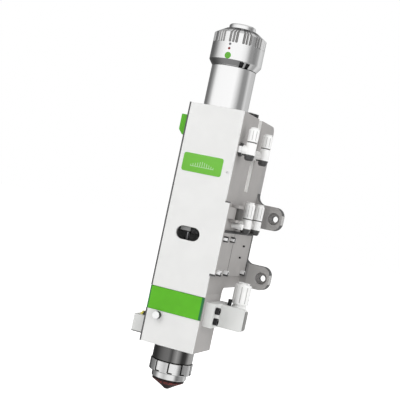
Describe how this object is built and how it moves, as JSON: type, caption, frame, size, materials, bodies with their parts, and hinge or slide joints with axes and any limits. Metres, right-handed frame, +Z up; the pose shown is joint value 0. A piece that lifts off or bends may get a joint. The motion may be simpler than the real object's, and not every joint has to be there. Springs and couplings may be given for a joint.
{
  "type": "laser cutting head",
  "caption": "Automatic-focus fibre laser cutting head with a white front cover, green window drawers, side water and gas fittings and a mounting plate with four ears.",
  "frame": {"origin": "centre of the four mounting holes, on the rear mounting face", "axes": "+Z up along the beam, from the nozzle to the fibre receiver; -Y is the front cover; +X is the side with the fittings"},
  "size_m": [0.125, 0.121, 0.3735],
  "materials": {
    "cover_white": "satin",
    "body_grey": "satin",
    "machined": "satin",
    "chromed": "polished",
    "steel": "satin",
    "dark_steel": "satin",
    "black_screw": "matte",
    "green_plastic": "gloss",
    "white_plastic": "gloss",
    "black_plastic": "matte",
    "dot_paint": "gloss",
    "optical_glass": "polished",
    "seal_rubber": "matte",
    "burnt_copper": "satin",
    "ceramic_white": "satin",
    "board_green": "satin"
  },
  "bodies": {
    "head": {"main_housing": "body_grey", "rear_side_cover": "body_grey", "adapter_block": "body_grey", "mounting_plate": "machined", "front_cover": "cover_white", "focus_window": "black_plastic", "cover_screw": "steel", "barrel_tube": "chromed", "collimator_cell": "machined", "collimating_lens": "optical_glass", "fibre_receiver": "chromed", "guide_rod_left": "steel", "guide_rod_right": "steel", "focus_motor": "black_plastic", "control_board": "board_green", "window_block": "body_grey", "sensor_body": "dark_steel", "ceramic_ring": "ceramic_white", "side_module": "body_grey", "gas_block": "cover_white", "gas_panel": "cover_white", "gas_plug": "black_screw", "connector_box": "body_grey", "sensor_socket": "black_plastic", "side_screws": "steel", "gas_block_screws": "black_screw", "plate_screws": "black_screw", "water_front_base": "steel", "water_groove_base": "steel", "water_middle_base": "steel", "water_rear_base": "steel", "gas_base": "steel"},
    "collar": {"locking_collar": "chromed", "collar_dots": "dot_paint"},
    "upper_window_drawer": {"upper_drawer": "machined", "upper_window": "optical_glass", "upper_seal": "seal_rubber", "upper_drawer_handle": "green_plastic"},
    "lower_window_drawer": {"drawer_front": "green_plastic", "drawer_tray": "machined", "protective_window": "optical_glass", "window_seal": "seal_rubber"},
    "lock_knob": {"drawer_lock_knob": "chromed"},
    "nut": {"lock_nut": "chromed"},
    "nozzle_body": {"nozzle": "burnt_copper"},
    "side_knob": {"adjusting_knob": "steel"},
    "carriage": {"lens_carriage": "machined", "focus_lens": "optical_glass", "focus_scale": "steel"},
    "drive_screw": {"lead_screw": "steel"},
    "water_front_swivel": {"water_front_elbow": "white_plastic"},
    "water_front_release": {"water_front_collet": "white_plastic"},
    "water_groove_swivel": {"water_groove_elbow": "white_plastic"},
    "water_groove_release": {"water_groove_collet": "white_plastic"},
    "water_middle_swivel": {"water_middle_elbow": "white_plastic"},
    "water_middle_release": {"water_middle_collet": "white_plastic"},
    "water_rear_swivel": {"water_rear_elbow": "white_plastic"},
    "water_rear_release": {"water_rear_collet": "white_plastic"},
    "gas_swivel": {"gas_elbow": "white_plastic"},
    "gas_release": {"gas_collet": "white_plastic"}
  },
  "joints": [
    {"name": "collar_lock", "type": "hinge", "parent": "head", "child": "collar", "pos_m": [0, -0.088, 0.1929], "axis": [0, 0, 1], "range_deg": [0, 60]},
    {"name": "upper_drawer_slide", "type": "slide", "parent": "head", "child": "upper_window_drawer", "axis": [-1, 0, 0], "range_m": [0, 0.06]},
    {"name": "lower_drawer_slide", "type": "slide", "parent": "head", "child": "lower_window_drawer", "axis": [0, -1, 0], "range_m": [0, 0.055]},
    {"name": "lock_knob_turn", "type": "hinge", "parent": "head", "child": "lock_knob", "pos_m": [-0.0149, -0.115, -0.0834], "axis": [0, -1, 0], "range_deg": [-180, 180]},
    {"name": "nut_turn", "type": "hinge", "parent": "head", "child": "nut", "pos_m": [0, -0.088, -0.1351], "axis": [0, 0, 1], "continuous": true},
    {"name": "nozzle_turn", "type": "hinge", "parent": "head", "child": "nozzle_body", "pos_m": [0, -0.088, -0.1491], "axis": [0, 0, 1], "continuous": true},
    {"name": "side_knob_turn", "type": "hinge", "parent": "head", "child": "side_knob", "pos_m": [0.035, -0.083, 0.03], "axis": [0, 0, 1], "range_deg": [-180, 180]},
    {"name": "drive_screw_turn", "type": "hinge", "parent": "head", "child": "drive_screw", "pos_m": [0, -0.03, 0.0329], "axis": [0, 0, 1], "range_deg": [-360, 360]},
    {"name": "focus_travel", "type": "slide", "parent": "head", "child": "carriage", "axis": [0, 0, 1], "range_m": [-0.01, 0.01]},
    {"name": "water_front_swivel_turn", "type": "hinge", "parent": "head", "child": "water_front_swivel", "pos_m": [0.035, -0.104, 0.0929], "axis": [1, 0, 0], "range_deg": [-30, 30]},
    {"name": "water_front_release_press", "type": "slide", "parent": "water_front_swivel", "child": "water_front_release", "axis": [0, 0, -1], "range_m": [0, 0.001], "stiffness_N_per_m": 300},
    {"name": "water_groove_swivel_turn", "type": "hinge", "parent": "head", "child": "water_groove_swivel", "pos_m": [0.035, -0.05485, 0.0929], "axis": [1, 0, 0], "range_deg": [-30, 30]},
    {"name": "water_groove_release_press", "type": "slide", "parent": "water_groove_swivel", "child": "water_groove_release", "axis": [0, 0, -1], "range_m": [0, 0.001], "stiffness_N_per_m": 300},
    {"name": "water_middle_swivel_turn", "type": "hinge", "parent": "head", "child": "water_middle_swivel", "pos_m": [0.035, -0.066, 0.0209], "axis": [1, 0, 0], "range_deg": [-25, 25]},
    {"name": "water_middle_release_press", "type": "slide", "parent": "water_middle_swivel", "child": "water_middle_release", "axis": [0, 0, -1], "range_m": [0, 0.001], "stiffness_N_per_m": 300},
    {"name": "water_rear_swivel_turn", "type": "hinge", "parent": "head", "child": "water_rear_swivel", "pos_m": [0.035, -0.031, 0.0209], "axis": [1, 0, 0], "range_deg": [-25, 25]},
    {"name": "water_rear_release_press", "type": "slide", "parent": "water_rear_swivel", "child": "water_rear_release", "axis": [0, 0, -1], "range_m": [0, 0.001], "stiffness_N_per_m": 300},
    {"name": "gas_swivel_turn", "type": "hinge", "parent": "head", "child": "gas_swivel", "pos_m": [0.0464, -0.06813, -0.0711], "axis": [1, 0, 0], "range_deg": [-8, 6]},
    {"name": "gas_release_press", "type": "slide", "parent": "gas_swivel", "child": "gas_release", "axis": [0, 0, -1], "range_m": [0, 0.001], "stiffness_N_per_m": 300}
  ],
  "couplings": [
    {"joint": "drive_screw_turn", "follows": "focus_travel", "rad_per_m": 628.32}
  ]
}
